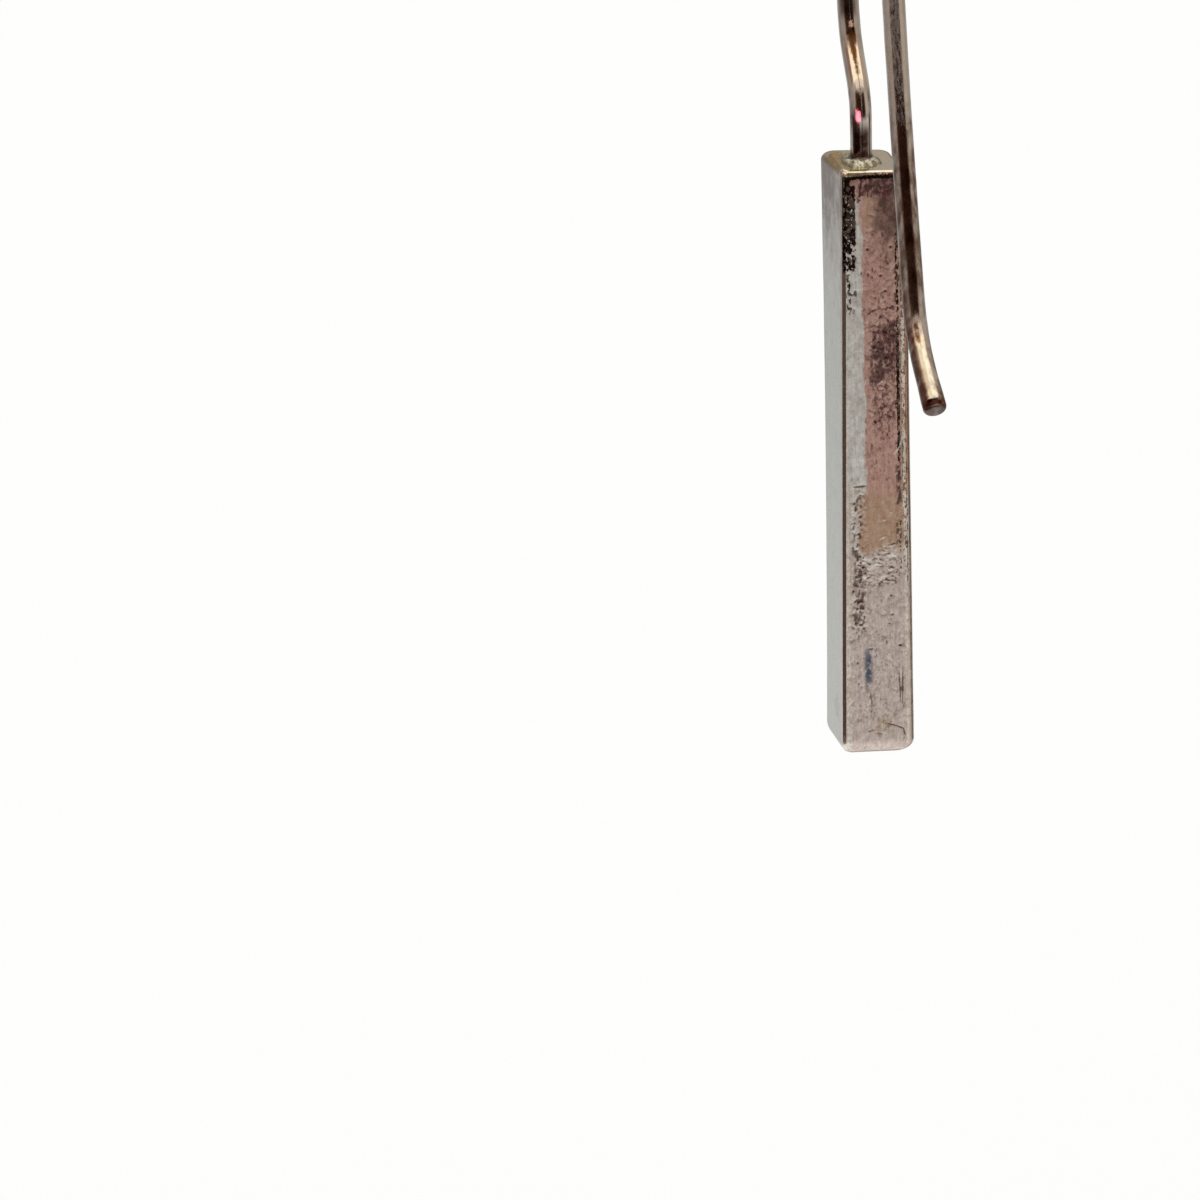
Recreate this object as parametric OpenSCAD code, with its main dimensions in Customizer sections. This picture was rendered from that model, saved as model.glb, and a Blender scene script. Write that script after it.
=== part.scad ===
// Bar earring: a solid silver bar soldered to the foot of a French ear wire.
//
// Frame: +Z is up, along the bar. -Y is the back of the earring, where the
// wire's tail hangs, and X runs across the bar. The origin is the inside of
// the hook's crown, where the earring hangs on the ear.

/* [Bar] */
// Length of the bar
bar_h = 26.7; // [12:0.1:45]
// Width and depth of the square bar at its top
bar_top_w = 2.88; // [2:0.02:5]
// Width and depth of the square bar at its lower end
bar_low_w = 3.12; // [2:0.02:5]
// Rounding of three of the long edges
edge_r = 0.31; // [0.1:0.01:0.6]
// Chamfer of the fourth one, at the back on the left
chamfer = 0.15; // [0.05:0.01:0.4]
// How far the left flank is filed in along its back edge, at the top
filed_top = 0.17; // [-0.3:0.01:0.4]
// How far it is filed in there at the lower end, where it stands out instead
filed_low = -0.07; // [-0.3:0.01:0.4]
// How far the left flank's front edge flares out towards both ends
left_flare = 0.07; // [0:0.01:0.3]
// Rounding of the top's rim at the front, on the right and at the left front
rim_r = 0.45; // [0.1:0.01:0.6]
// Rounding of the top's rim at the back and at the left back, left crisp
back_rim_r = 0.12; // [0.05:0.01:0.4]
// Rounding of the lower end
low_r = 0.82; // [0.2:0.01:0.9]
// Rounding of the lower end on the left flank
low_left_r = 0.64; // [0.2:0.01:0.9]
// How far both ends fall towards +X, in degrees
end_slope = 5.5; // [-8:0.1:8]
// How far the lower end falls towards the front as well, in degrees
low_tilt = 7; // [-10:0.5:10]
// How far the bar's middle stands beside the wire
bar_shift = 0.12; // [-0.4:0.01:0.4]

/* [Solder] */
// Height and reach of the fillet round the wire's foot
fillet_r = 0.36; // [0.15:0.01:0.5]
// Size of the solder's lumps, as a factor on the table's rise
lump_rise = 1; // [0.5:0.05:1.4]

/* [Ear wire: leg] */
// Diameter of the wire
wire_d = 0.9; // [0.7:0.01:1.1]
// How deep the foot is let into the bar's top
foot_depth = 0.8; // [0.4:0.05:2]
// Straight stretch above the bar
foot_run = 1.76; // [1.2:0.02:6]
// How far the leg leans to the front after its first bend, in degrees
jog_lean = 36.5; // [10:0.5:50]
// Bend radius where the leg starts to lean
jog_r = 2.6; // [1:0.05:5]
// Straight stretch of the leaning part
jog_run = 0.86; // [0.2:0.02:3]
// Bend radius where the leg turns upright again
neck_r = 4.15; // [1:0.05:8]
// Lean that is left below the crown, in degrees
neck_lean = 6; // [0:0.5:15]
// Straight stretch below the crown
neck_run = 2.4; // [0.5:0.1:8]

/* [Ear wire: crown and tail] */
// Radius of the crown, to the middle of the wire
crown_r = 3.6; // [2.6:0.05:6]
// Outward lean of the tail below the crown, in degrees
tail_lean = 10.2; // [4:0.2:20]
// Radius of the long, slight curve of the tail
tail_bow_r = 144; // [60:1:400]
// How far that curve turns the tail outward, in degrees
tail_bow = 5; // [2:0.1:12]
// Outward lean of the tail's flared end, in degrees
flare_lean = 55; // [30:0.5:75]
// Bend radius of the flare
flare_r = 4.4; // [2:0.1:8]
// Straight stretch of the flared end
flare_run = 1.7; // [0.5:0.05:4]
// Rounding of the wire's cut end
tip_r = 0.16; // [0.1:0.01:0.3]

/* [Hidden] */
bar_silver = [0.72, 0.70, 0.67];
wire_silver = [0.60, 0.55, 0.51];
solder_silver = [0.78, 0.77, 0.66];
wire_r = wire_d / 2;
// How far the solder reaches out from the wire's middle and down into the
// bar's sloping top
solder_reach = wire_r + fillet_r;
solder_sink = solder_reach / 4;
// How deep the fillet's arc bites into the wire and the bar, as a share of
// its radius
fillet_bite = 0.055;
// The lower end's rounding takes no more than this share of half the bar's
// width
low_limit = 0.55;
// Steps in a quarter turn of the bar's rounded edges and of its ends
edge_steps = 6;
end_steps = 6;
// Sides of the wire, steps of its rounded tip, and the largest angle between
// two rings in a bend
wire_sides = 24;
tip_steps = 4;
bend_step = 7;

// Columns of the wire's course: turn in degrees (towards the front when it is
// positive), radius of the bend, and the straight stretch after it
TURN = 0;
BEND = 1;
RUN = 2;
leg_course = [
    [0, jog_r, foot_depth + foot_run],
    [jog_lean, jog_r, jog_run],
    [neck_lean - jog_lean, neck_r, neck_run],
];
tail_course = [
    [tail_lean - neck_lean - 180, crown_r, 0],
    [tail_bow, tail_bow_r, 0],
    [flare_lean - tail_lean - tail_bow, flare_r, flare_run],
];

// Columns of the solder's lumps. The place across and front to back is a share
// of the bar's width at its top. The radius of the ball that the lump is cut
// from, and its rise above the bar, are shares of the wire's diameter.
ACROSS = 0;
ALONG = 1;
BALL = 2;
RISE = 3;
lumps = [
    [-0.145, -0.18, 0.69, 0.22],
    [ 0.035, -0.26, 0.58, 0.18],
    [ 0.16, -0.12, 0.62, 0.27],
    [-0.07, 0.12, 0.67, 0.135],
];

// Closed skin over a list of rings that all have the same number of points
module skin(rings) {
    sides = len(rings[0]);
    last = (len(rings) - 1) * sides;
    points = [for (ring = rings) for (p = ring) p];
    first_cap = [for (i = [sides - 1:-1:0]) i];
    last_cap = [for (i = [0:sides - 1]) last + i];
    walls = [
        for (k = [0:len(rings) - 2])
            for (i = [0:sides - 1])
                let (
                    a = k * sides + i,
                    b = k * sides + (i + 1) % sides
                )
                each [
                    [a, b, b + sides],
                    [a, b + sides, a + sides]
                ]
    ];
    polyhedron(points, concat([first_cap], walls, [last_cap]), convexity = 6);
}

// How far a rounded end is drawn in, at a depth below the end's face
function drawn_in(r, depth) = depth < r ? r - sqrt(r * r - (r - depth) * (r - depth)) : 0;

// Width of the bar at a depth below its top
function bar_w(depth) = bar_top_w + (bar_low_w - bar_top_w) * depth / bar_h;

// A quarter turn about a middle, which one step makes a chamfer
function edge_arc(middle, start, r, steps) = [
    for (i = [0:steps])
        let (a = start + 90 * i / steps)
        middle + r * [cos(a), sin(a)]
];

// Outline of the bar at a depth below its top. Both ends fall across the bar
// with the same slope, and the lower end falls towards the front as well.
function bar_ring(depth) =
    let (
        down = depth / bar_h,
        half = bar_w(depth) / 2,
        low_half = low_limit * bar_low_w / 2,
        low = drawn_in(min(low_r, low_half), bar_h - depth),
        low_left = drawn_in(min(low_left_r, low_half), bar_h - depth),
        rim = drawn_in(rim_r, depth),
        crisp_rim = drawn_in(back_rim_r, depth),
        filed = filed_top + (filed_low - filed_top) * down,
        right = half - rim - low - edge_r,
        back = half - crisp_rim - low,
        left_front = half - rim - low_left + left_flare * pow(2 * down - 1, 2) - edge_r,
        left_back = half - crisp_rim - low_left - filed - chamfer,
        outline = concat(
            edge_arc([right, right], 0, edge_r, edge_steps),
            edge_arc([-left_front, right], 90, edge_r, edge_steps),
            edge_arc([-left_back, chamfer - back], 180, chamfer, 1),
            edge_arc([right, edge_r - back], 270, edge_r, edge_steps)
        )
    )
    [
        for (p = outline)
            let (fall = (p[1] + bar_low_w / 2) * tan(low_tilt) * down)
            [p[0], p[1], -depth - p[0] * tan(end_slope) - fall]
    ];

// Bar, with the middle of its top at the origin
module bar() {
    quarter = [for (i = [0:end_steps]) 90 * i / end_steps];
    depths = concat(
        [for (a = quarter) rim_r * (1 - cos(a))],
        [for (a = quarter) bar_h - low_r * (1 - sin(a))]
    );
    color(bar_silver)
        skin([for (depth = depths) bar_ring(depth)]);
}

// A station of the wire is [y, z, heading], with the heading in degrees from
// straight up towards the front. This one follows another along a bend.
function bent(from, turn, radius) =
    let (
        side = turn < 0 ? -1 : 1,
        heading = from[2] + turn
    )
    [
        from[0] + side * radius * (cos(from[2]) - cos(heading)),
        from[1] + side * radius * (sin(heading) - sin(from[2])),
        heading
    ];

// The station at the end of a straight stretch
function straight(from, length) = [
    from[0] + length * sin(from[2]),
    from[1] + length * cos(from[2]),
    from[2]
];

// All stations of a course after its start
function stations(course, from, i = 0) =
    i == len(course) ? [] :
    let (
        row = course[i],
        steps = ceil(abs(row[TURN]) / bend_step),
        bend_end = bent(from, row[TURN], row[BEND]),
        run_end = straight(bend_end, row[RUN])
    )
    concat(
        [for (k = [1:1:steps]) bent(from, row[TURN] * k / steps, row[BEND])],
        row[RUN] > 0 ? [run_end] : [],
        stations(course, run_end, i + 1)
    );

// Ring of the wire at a station
function wire_ring(at, radius) = [
    for (i = [0:wire_sides - 1])
        let (
            a = 360 * i / wire_sides,
            out = radius * cos(a)
        )
        [radius * sin(a), at[0] + out * cos(at[2]), at[1] - out * sin(at[2])]
];

foot = [0, -foot_depth, 0];
leg_stations = stations(leg_course, foot);
crown_start = leg_stations[len(leg_stations) - 1];
tail_stations = stations(tail_course, crown_start);
tip = tail_stations[len(tail_stations) - 1];
// Inside of the crown's highest point, seen from the foot
hang_y = crown_start[0] - crown_r * cos(crown_start[2]);
hang_z = crown_start[1] + crown_r * sin(crown_start[2]) + crown_r - wire_r;

// Ear wire, from the foot in the bar over the crown to the flared tip
module ear_wire() {
    drawn = [for (at = concat([foot], leg_stations, tail_stations)) wire_ring(at, wire_r)];
    rounded = [
        for (i = [1:tip_steps])
            let (a = 90 * i / tip_steps)
            wire_ring(straight(tip, tip_r * sin(a)), wire_r - tip_r * (1 - cos(a)))
    ];
    color(wire_silver)
        skin(concat(drawn, rounded));
}

// Solder: a fillet round the foot, and the lumps that ran to the back rim
module solder() {
    color(solder_silver) {
        translate([0, 0, -solder_sink])
            rotate_extrude($fn = 64)
                difference() {
                    square([solder_reach, solder_sink + fillet_r]);
                    translate([solder_reach, solder_sink + fillet_r])
                        circle(fillet_r * (1 + fillet_bite), $fn = 48);
                }
        for (lump = lumps) {
            ball = lump[BALL] * wire_d;
            rise = lump[RISE] * wire_d * lump_rise;
            translate([lump[ACROSS] * bar_top_w, lump[ALONG] * bar_top_w, rise - ball])
                sphere(ball, $fn = 48);
        }
    }
}

// Soldered together, the earring is one piece of metal
module soldered_earring() {
    translate([0, -hang_y, -hang_z]) {
        translate([bar_shift, 0, 0])
            bar();
        solder();
        ear_wire();
    }
}

soldered_earring();
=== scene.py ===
import math
from itertools import product

import bpy
import numpy as np
from mathutils import Euler, Matrix, Vector


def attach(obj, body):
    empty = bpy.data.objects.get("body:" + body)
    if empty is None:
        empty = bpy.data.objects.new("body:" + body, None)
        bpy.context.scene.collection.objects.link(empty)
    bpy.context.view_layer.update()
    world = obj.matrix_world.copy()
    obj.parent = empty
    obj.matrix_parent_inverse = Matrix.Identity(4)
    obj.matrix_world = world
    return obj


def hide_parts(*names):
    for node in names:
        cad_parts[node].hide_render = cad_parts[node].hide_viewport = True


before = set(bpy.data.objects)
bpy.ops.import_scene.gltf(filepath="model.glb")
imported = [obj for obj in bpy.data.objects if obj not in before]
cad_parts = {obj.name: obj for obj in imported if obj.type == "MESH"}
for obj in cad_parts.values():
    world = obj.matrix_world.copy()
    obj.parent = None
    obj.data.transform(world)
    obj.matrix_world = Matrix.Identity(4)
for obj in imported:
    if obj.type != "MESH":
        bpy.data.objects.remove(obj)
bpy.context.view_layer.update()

# Lengths are millimetres until a mesh is made. +Z is up along the bar, -Y is
# the back of the earring with the wire's tail, and X runs across the bar.
millimetre = 0.001
# noise is turned out of line with the bar, so that its lattice doesn't show
noiseTilt = np.array(Euler((0.55, 0.35, 0.85)).to_matrix())


def softStep(value, low, high):
    t = np.clip((value - low) / (high - low), 0.0, 1.0)
    return t * t * (3.0 - 2.0 * t)


def window(value, low, high, soft):
    return softStep(value, low - soft, low + soft) * (1.0 - softStep(value, high - soft, high + soft))


def softField(across, height, row):
    # a soft rectangle; its row holds across from and to, softness, height from and
    # to, softness, and strength
    return window(across, *row[:3]) * window(height, *row[3:6]) * row[6]


def roundSpot(across, along, spot, power=2):
    # a soft oval; the spot holds its middle and its half widths
    x0, y0, wide, tall = spot
    return np.exp(-(((across - x0) / wide) ** power + ((along - y0) / tall) ** power))


def smoothNoise(places, size, seed):
    # value noise from -1 to 1 over a lattice of the given size
    p = places @ noiseTilt / size + seed * 7.317
    cell = np.floor(p).astype(np.int64)
    part = p - cell
    ease = part ** 3 * (part * (part * 6.0 - 15.0) + 10.0)
    total = np.zeros(len(p))
    for corner in product((0, 1), repeat=3):
        c = cell + np.array(corner)
        mixed = c[:, 0] * 73856093 ^ c[:, 1] * 19349663 ^ c[:, 2] * 83492791 ^ (seed + 11) * 26544357
        mixed = (mixed ^ (mixed >> 13)) * 12741261
        mixed = (mixed ^ (mixed >> 17)) & 0xFFFF
        weight = np.prod(np.where(np.array(corner) == 1, ease, 1.0 - ease), axis=1)
        total += (mixed / 32767.5 - 1.0) * weight
    return total


def layeredNoise(places, size, seed, layers=3, gain=0.5):
    total = np.zeros(len(places))
    strength = 1.0
    for layer in range(layers):
        total += strength * smoothNoise(places, size / 2 ** layer, seed + layer)
        strength *= gain
    return total


def warped(places, reach, size, seed):
    # places shifted about by noise
    return places + reach * np.stack([smoothNoise(places, size, seed + k) for k in range(3)], axis=1)


def ridges(places, size, seed, sharpness=3):
    # crests of layered noise, from 0 to 1
    crest = 1 - np.abs(layeredNoise(warped(places, size * 0.3, size * 0.8, seed + 5), size, seed, 2))
    return np.clip(crest, 0, 1) ** sharpness


def gridNormals(grid):
    # normals of a grid that is closed round its second axis, pointing outwards
    along = np.gradient(grid, axis=0)
    around = np.roll(grid, -1, axis=1) - np.roll(grid, 1, axis=1)
    normal = np.cross(along, around)
    length = np.linalg.norm(normal, axis=2, keepdims=True)
    return normal / np.maximum(length, 1e-12)


def addObject(name, data):
    thing = bpy.data.objects.new(name, data)
    bpy.context.scene.collection.objects.link(thing)
    return thing


def closedMesh(name, grid, firstPole, lastPole):
    # rings of points between two poles, as one closed piece
    rings, sides = grid.shape[:2]
    points = np.vstack([grid.reshape(-1, 3), firstPole, lastPole])
    faces = []
    for k in range(rings - 1):
        for i in range(sides):
            j = (i + 1) % sides
            faces.append((k * sides + i, (k + 1) * sides + i, (k + 1) * sides + j, k * sides + j))
    first = rings * sides
    last = first + 1
    lastRing = (rings - 1) * sides
    for i in range(sides):
        j = (i + 1) % sides
        faces.append((first, i, j))
        faces.append((lastRing + i, last, lastRing + j))
    mesh = bpy.data.meshes.new(name)
    mesh.from_pydata([tuple(p) for p in points * millimetre], [], faces)
    mesh.update()
    mesh.shade_smooth()
    return addObject(name, mesh)


def paint(piece, name, grid, firstValue=0.0, lastValue=0.0):
    # a value from 0 to 1 at each point of a closed mesh, for its material
    values = np.concatenate([grid.ravel(), [firstValue, lastValue]])
    layer = piece.data.attributes.new(name, "FLOAT", "POINT")
    layer.data.foreach_set("value", np.clip(values, 0.0, 1.0).astype(np.float32))


# place in metres, angles in degrees
cameraSettings = {
    "place": (-0.04249, -0.16254, 0.05508),
    "turn": -10.711,
    "dip": 27.07,
    "roll": -2.44,
    "lens": 135.0,
    "sensor": 36.0,
    "clip": (0.01, 20.0),
}
cameraData = bpy.data.cameras.new("photoCamera")
cameraData.lens = cameraSettings["lens"]
cameraData.sensor_width = cameraSettings["sensor"]
cameraData.clip_start, cameraData.clip_end = cameraSettings["clip"]
camera = addObject("photoCamera", cameraData)
turned = Matrix.Rotation(math.radians(cameraSettings["turn"]), 4, "Z")
dipped = Matrix.Rotation(math.radians(90.0 - cameraSettings["dip"]), 4, "X")
rolled = Matrix.Rotation(math.radians(cameraSettings["roll"]), 4, "Z")
camera.matrix_world = Matrix.Translation(cameraSettings["place"]) @ turned @ dipped @ rolled
bpy.context.scene.camera = camera
bpy.context.scene.view_settings.view_transform = "Standard"
print("camera ready")


barSettings = {
    "height": 26.7,
    "topWidth": 2.88,
    "lowWidth": 3.12,
    "edgeRound": 0.31,
    "chamfer": 0.15,
    "filedTop": 0.17,
    "filedLow": -0.07,
    "leftFlare": 0.07,
    "rimRound": 0.45,
    "crispRim": 0.17,
    "lowRound": 0.82,
    "lowLeftRound": 0.64,
    "endSlope": 5.5,
    "lowTilt": 7.0,
    "middle": (0.12, 1.5166, -11.9457),
    # half the near face's width 12 mm below the crown, and its growth per millimetre down
    "nearHalf": (1.10, 0.0045),
    # how finely the mesh is divided
    "nearColumns": 78,
    "sideColumns": 9,
    "edgeColumns": 4,
    "nearEdgeColumns": 9,
    "rimRows": 8,
    "rows": 690,
    "lowRows": 15,
    "topCapRings": 22,
    "lowCapRings": 14,
    # depths of the relief in millimetres, and the size of the pits as a factor
    "waves": 0.012,
    "ripples": 0.0018,
    "grain": 0.0006,
    "pillow": 0.016,
    "pitSize": 0.7,
    "pitDepth": 0.015,
    "crumble": 0.010,
    "wrinkles": 0.020,
    "nearSink": 0.010,
}


def barColumns():
    # corner before, corner after, share of the way, and the direction out of both;
    # the corners are right front, left front, left back and right back
    s = barSettings
    rows = []
    sides = []

    def face(first, second, count, out):
        for i in range(count + 1):
            rows.append((first, second, i / count, out[0], out[1]))
            sides.append({(2, 3): "near", (1, 2): "left"}.get((first, second), "other"))

    def edge(corner, start, chamfered=False):
        count = s["nearEdgeColumns"] if corner == 3 else s["edgeColumns"]
        for i in range(count):
            t = (i + 1) / (count + 1)
            a = math.radians(start + 90.0 * t)
            first = math.radians(start)
            straight = (math.cos(first) * (1 - t) - math.sin(first) * t,
                        math.sin(first) * (1 - t) + math.cos(first) * t)
            out = straight if chamfered else (math.cos(a), math.sin(a))
            rows.append((corner, corner, 0.0, out[0], out[1]))
            sides.append("bevel" if chamfered else "near" if corner == 3 and t < 0.6 else "other")

    face(2, 3, s["nearColumns"], (0, -1))
    edge(3, 270)
    face(3, 0, s["sideColumns"], (1, 0))
    edge(0, 0)
    face(0, 1, s["sideColumns"], (0, 1))
    edge(1, 90)
    face(1, 2, s["sideColumns"], (-1, 0))
    edge(2, 180, chamfered=True)
    return np.array(rows, float), np.array(sides)


def drawnIn(radius, depth):
    inside = np.clip(radius - depth, 0.0, radius)
    return radius - np.sqrt(np.maximum(radius ** 2 - inside ** 2, 0.0))


def barGrid():
    s = barSettings
    fine = np.linspace(0.0, 1.0, s["rimRows"])
    rimDepths = np.concatenate([
        s["crispRim"] * (1 - np.cos(fine * math.pi / 2)),
        s["crispRim"] + (s["rimRound"] - s["crispRim"]) * fine[1:],
    ])
    shank = np.linspace(s["rimRound"], s["height"] - s["lowRound"], s["rows"])[1:]
    quarter = np.linspace(0.0, math.pi / 2, s["lowRows"])[1:]
    lowEnd = s["height"] - s["lowRound"] * (1 - np.sin(quarter))
    depths = np.concatenate([rimDepths, shank, lowEnd])
    down = depths / s["height"]
    half = (s["topWidth"] + (s["lowWidth"] - s["topWidth"]) * down) / 2
    crisp = drawnIn(s["crispRim"], depths)
    low = drawnIn(s["lowRound"], s["height"] - depths)
    rim = drawnIn(s["rimRound"], depths)
    right = half - rim - low - s["edgeRound"]
    back = half - crisp - low
    left = half - drawnIn(s["lowLeftRound"], s["height"] - depths)
    flare = s["leftFlare"] * (2 * down - 1) ** 2
    filed = s["filedTop"] + (s["filedLow"] - s["filedTop"]) * down
    leftFront = left - rim + flare - s["edgeRound"]
    leftBack = left - crisp - filed - s["chamfer"]
    cornerX = np.stack([right, -leftFront, -leftBack, right])
    cornerY = np.stack([right, right, s["chamfer"] - back, s["edgeRound"] - back])
    cornerR = np.array([s["edgeRound"], s["edgeRound"], s["chamfer"], s["edgeRound"]])
    columns, sides = barColumns()
    first = columns[:, 0].astype(int)
    second = columns[:, 1].astype(int)
    share = columns[:, 2]
    radius = cornerR[first] * (1 - share) + cornerR[second] * share
    x = cornerX[first].T * (1 - share) + cornerX[second].T * share + radius * columns[:, 3]
    y = cornerY[first].T * (1 - share) + cornerY[second].T * share + radius * columns[:, 4]
    slope = math.tan(math.radians(s["endSlope"]))
    fall = (y + s["lowWidth"] / 2) * math.tan(math.radians(s["lowTilt"])) * down[:, None]
    grid = np.stack([x, y, -depths[:, None] - x * slope - fall], axis=2)

    def cap(ring, shares):
        centre = ring.mean(axis=0)
        return centre, np.array([centre + share * (ring - centre) for share in shares])

    topPole, topCap = cap(grid[0], np.linspace(0.0, 1.0, s["topCapRings"])[1:-1])
    lowPole, lowCap = cap(grid[-1], np.linspace(1.0, 0.0, s["lowCapRings"])[1:-1])
    return np.concatenate([topCap, grid, lowCap]), topPole, lowPole, sides


# listed marks on the near face: across, height, size across, size along, depth
nearPits = [
    (-0.29, -15.25, 0.10, 0.06, 1.0), (0.68, -15.25, 0.08, 0.07, 1.0), (0.36, -14.66, 0.05, 0.14, 0.9),
    (-0.55, -16.26, 0.05, 0.16, 0.8), (-0.27, -16.35, 0.05, 0.13, 0.8), (0.24, -16.45, 0.10, 0.06, 0.9),
    (0.02, -17.40, 0.06, 0.05, 0.7), (0.44, -17.15, 0.09, 0.05, 0.8), (-0.10, -25.0, 0.05, 0.05, 0.6),
    (-0.05, -22.9, 0.08, 0.09, 0.9), (0.55, -31.0, 0.10, 0.05, 0.8), (0.60, -31.9, 0.13, 0.05, 0.8),
    (0.45, -32.3, 0.12, 0.03, 0.7), (0.92, -33.4, 0.12, 0.07, 1.1), (-0.38, -33.4, 0.15, 0.05, 0.9),
    (0.32, -33.2, 0.04, 0.12, 0.8), (-0.12, -33.75, 0.04, 0.12, 0.9), (-0.95, -34.0, 0.06, 0.10, 0.7),
    (-0.90, -35.0, 0.05, 0.12, 0.8), (-0.80, -31.6, 0.07, 0.10, 0.9), (-0.62, -31.9, 0.05, 0.18, 0.9),
    (-0.78, -32.2, 0.09, 0.06, 0.9), (0.10, -34.1, 0.04, 0.10, 0.7), (0.28, -34.2, 0.04, 0.09, 0.6),
]

# scratches: across and height at both ends, width, depth
nearScratches = [
    (-1.02, -25.78, -0.45, -25.80, 0.035, 1.0), (0.10, -28.32, 0.34, -28.24, 0.030, -0.9),
    (0.22, -27.50, 0.36, -27.47, 0.028, -0.8), (0.52, -27.16, 0.62, -27.18, 0.028, -0.8),
    (0.40, -28.75, 0.78, -28.66, 0.035, -0.9), (0.38, -28.66, 0.80, -28.58, 0.025, 0.9),
    (-0.40, -35.45, -0.34, -36.00, 0.028, 0.8), (-0.34, -36.00, -0.38, -36.62, 0.024, 0.6),
    (0.86, -34.6, 0.92, -36.1, 0.035, 0.9), (1.02, -34.4, 1.00, -36.2, 0.035, 0.9),
    (0.30, -37.05, 0.75, -37.25, 0.035, 0.9), (0.75, -37.25, 1.02, -37.40, 0.040, 1.0),
    (1.02, -37.40, 1.10, -37.75, 0.040, 1.0), (1.10, -37.75, 0.98, -38.05, 0.030, 0.8),
    (-0.60, -37.35, -0.20, -37.30, 0.030, 0.7), (-0.20, -37.45, 0.25, -37.60, 0.030, 0.6),
    (0.74, -24.5, 0.98, -24.2, 0.035, -0.9), (0.98, -24.2, 1.10, -23.7, 0.030, -0.9),
    (-0.50, -21.4, -0.42, -22.3, 0.025, -0.6), (-0.20, -20.5, -0.05, -19.4, 0.030, 0.7),
    (-0.05, -19.4, 0.20, -19.9, 0.030, 0.7), (0.20, -19.9, 0.30, -20.8, 0.030, 0.7),
]

# fields of the near face, with rows as softField reads them; crumbled are a band
# beside the left edge near the top, a pitted one lower down, the margin along the
# right edge and the strip under the top rim
crumbledBands = [
    (-1.15, -0.74, 0.06, -18.0, -12.5, 0.12, 1.0),
    (-1.10, -0.66, 0.10, -32.6, -25.6, 0.25, 0.7),
    (0.80, 1.05, 0.06, -29.5, -14.5, 0.7, 0.8),
    (-0.60, 0.95, 0.10, -12.85, -12.30, 0.10, 0.8),
]
wrinkledFields = {
    "crossing": (-1.0, 0.90, 0.20, -30.45, -28.85, 0.25, 1.0),
    "left": (-1.15, -0.45, 0.12, -32.9, -25.7, 0.5, 0.6),
    "dark": (-0.30, 0.86, 0.22, -23.0, -18.1, 0.6, 0.7),
    "upper": (-0.5, 0.9, 0.2, -18.6, -13.0, 0.6, 0.30),
}
# tones of the near face; across is ragged, straight or measured from the right edge
toneFields = {
    "tan": [
        ("ragged", -0.80, 1.15, 0.16, -29.0, -26.3, 0.3, 1.0),
        ("ragged", -0.34, -0.10, 0.08, -14.4, -12.7, 0.35, 0.8),
        ("fromRight", -0.5, 0.12, 0.04, -26.0, -12.0, 0.3, 0.9),
    ],
    "umber": [
        ("ragged", -1.0, 0.95, 0.15, -37.4, -28.9, 0.4, 0.20),
        ("ragged", -1.1, -0.55, 0.12, -31.9, -29.2, 0.3, 0.36),
        ("ragged", -1.15, -0.75, 0.10, -29.2, -25.4, 0.4, 0.26),
        ("fromRight", -0.17, 0.08, 0.03, -30.5, -12.0, 0.5, 0.55),
    ],
    "plum": [
        ("ragged", -0.28, 0.90, 0.22, -21.4, -18.5, 0.5, 0.68),
        ("ragged", -0.20, 0.90, 0.22, -23.6, -21.4, 0.6, 0.46),
        ("ragged", -0.55, 0.80, 0.14, -26.0, -14.0, 0.5, 0.26),
        ("ragged", -0.60, 1.0, 0.08, -13.0, -12.1, 0.15, 0.62),
    ],
    # painted dark reflection down the left margin near the top, and dark crumbs in the pitted band lower
    # down
    "patinaAndDarkReflection": [
        ("straight", -1.5, -0.76, 0.06, -15.3, -12.4, 0.2, 0.68),
        ("straight", -1.5, -0.80, 0.06, -16.2, -15.3, 0.2, 0.60),
        ("straight", -1.5, -0.98, 0.05, -18.2, -16.2, 0.3, 0.45),
        ("ragged", -1.05, -0.66, 0.08, -32.3, -25.9, 0.3, 0.22),
    ],
    # painted dark reflection along the right margin
    "margin": [
        ("fromRight", 0.13, 0.28, 0.03, -25.2, -19.0, 0.5, 0.68),
        ("fromRight", 0.13, 0.28, 0.03, -19.0, -14.6, 0.5, 0.52),
        ("fromRight", 0.13, 0.28, 0.03, -29.8, -25.2, 0.3, 0.40),
    ],
    # painted highlights on the near face and along its edges
    "creamHighlight": [
        ("ragged", -0.92, -0.62, 0.05, -16.2, -12.9, 0.2, 0.46),
        ("fromRight", -0.11, 0.07, 0.02, -60.0, -17.0, 2.0, 0.56),
        ("straight", -1.6, -1.20, 0.02, -60.0, -19.0, 1.0, 0.55),
    ],
}
# oval spots on the near face and on the top: their middles and half widths
barSpots = {
    "blotch": (-0.46, -34.3, 0.17, 0.95),
    "goldenStain": (0.18, -25.15, 0.42, 0.36),
    "topStain": (-1.0, 0.1, 0.5, 1.0),
    "topBloom": (-1.1, -0.1, 0.75, 1.3),
    "rimBloom": (-0.45, -1.05, 0.55, 0.35),
}


def nearHalfWidth(z):
    width, growth = barSettings["nearHalf"]
    return width + growth * (-12.0 - z)


def fallOff(gap, reach):
    return np.clip(1 - gap / reach, 0, 1) ** 2


def segmentShape(u, z, x0, z0, x1, z1, width):
    dx = x1 - x0
    dz = z1 - z0
    t = np.clip(((u - x0) * dx + (z - z0) * dz) / (dx * dx + dz * dz), 0.0, 1.0)
    gap = np.hypot(u - x0 - t * dx, z - z0 - t * dz)
    taper = 0.35 + 0.65 * np.sin(math.pi * np.clip(t, 0.08, 0.92))
    return np.exp(-(gap / (width * taper)) ** 2)


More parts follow.
